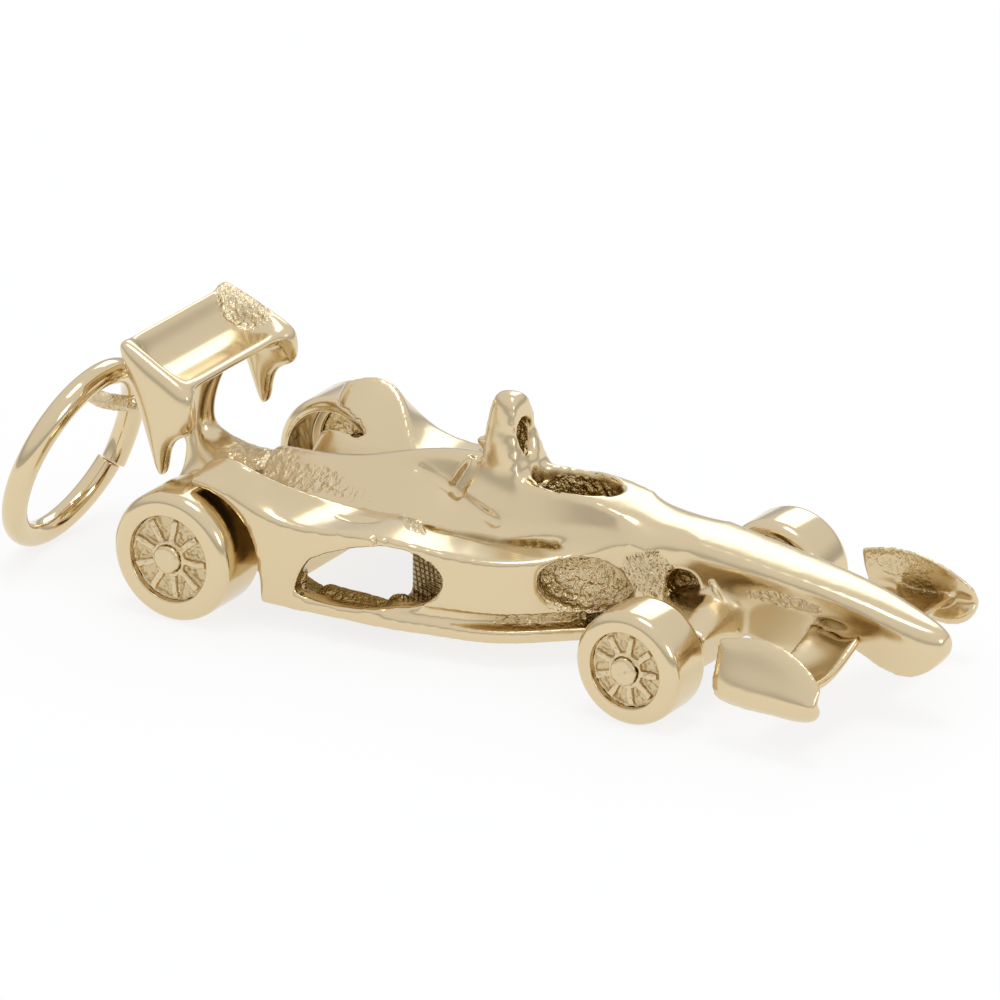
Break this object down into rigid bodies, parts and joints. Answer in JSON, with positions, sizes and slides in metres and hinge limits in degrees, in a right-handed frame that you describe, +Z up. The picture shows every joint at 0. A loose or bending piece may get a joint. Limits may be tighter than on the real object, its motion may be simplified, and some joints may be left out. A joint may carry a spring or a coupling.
{
  "type": "open wheel racing car charm",
  "caption": "Small polished gold charm of an open wheel racing car, with turning spoked wheels, wings, a hollow underside and a jump ring in a loop at its tail.",
  "frame": {"origin": "on the floor under the middle of the whole charm, jump ring included", "axes": "+X towards the car's nose, +Y to the car's left, +Z up"},
  "size_m": [0.0344, 0.0128, 0.0084],
  "materials": {
    "cast_gold": "polished",
    "wheel_gold": "polished",
    "wire_gold": "polished"
  },
  "bodies": {
    "car": {"body_shell": "cast_gold", "diffuser": "cast_gold", "front_axle": "wheel_gold", "front_axle_beam": "cast_gold", "front_plate_left": "cast_gold", "front_plate_right": "cast_gold", "front_wing": "cast_gold", "gearbox": "cast_gold", "hanging_loop": "wire_gold", "nose": "cast_gold", "rear_axle": "wheel_gold", "rear_plate_left": "cast_gold", "rear_plate_right": "cast_gold", "rear_wing": "cast_gold", "rear_wing_post": "cast_gold", "roll_hoop": "cast_gold", "wing_keel": "cast_gold"},
    "front_left_wheel": {"front_tyre_left": "wheel_gold", "front_disc_left": "wheel_gold"},
    "front_right_wheel": {"front_tyre_right": "wheel_gold", "front_disc_right": "wheel_gold"},
    "rear_left_wheel": {"rear_tyre_left": "wheel_gold", "rear_disc_left": "wheel_gold"},
    "rear_right_wheel": {"rear_tyre_right": "wheel_gold", "rear_disc_right": "wheel_gold"},
    "ring": {"jump_ring": "wire_gold"}
  },
  "joints": [
    {"name": "front_left_wheel_spin", "type": "hinge", "parent": "car", "child": "front_left_wheel", "pos_m": [0.00821, 0.00462, 0.00198], "axis": [0, 1, 0], "continuous": true},
    {"name": "front_right_wheel_spin", "type": "hinge", "parent": "car", "child": "front_right_wheel", "pos_m": [0.00821, -0.00462, 0.00198], "axis": [0, 1, 0], "continuous": true},
    {"name": "rear_left_wheel_spin", "type": "hinge", "parent": "car", "child": "rear_left_wheel", "pos_m": [-0.00929, 0.00504, 0.00227], "axis": [0, 1, 0], "continuous": true},
    {"name": "rear_right_wheel_spin", "type": "hinge", "parent": "car", "child": "rear_right_wheel", "pos_m": [-0.00929, -0.00504, 0.00227], "axis": [0, 1, 0], "continuous": true},
    {"name": "jump_ring_swing", "type": "hinge", "parent": "car", "child": "ring", "pos_m": [-0.01501, -0.00135, 0.00505], "axis": [0.9373, 0, -0.3486], "range_deg": [-115, 0]}
  ]
}
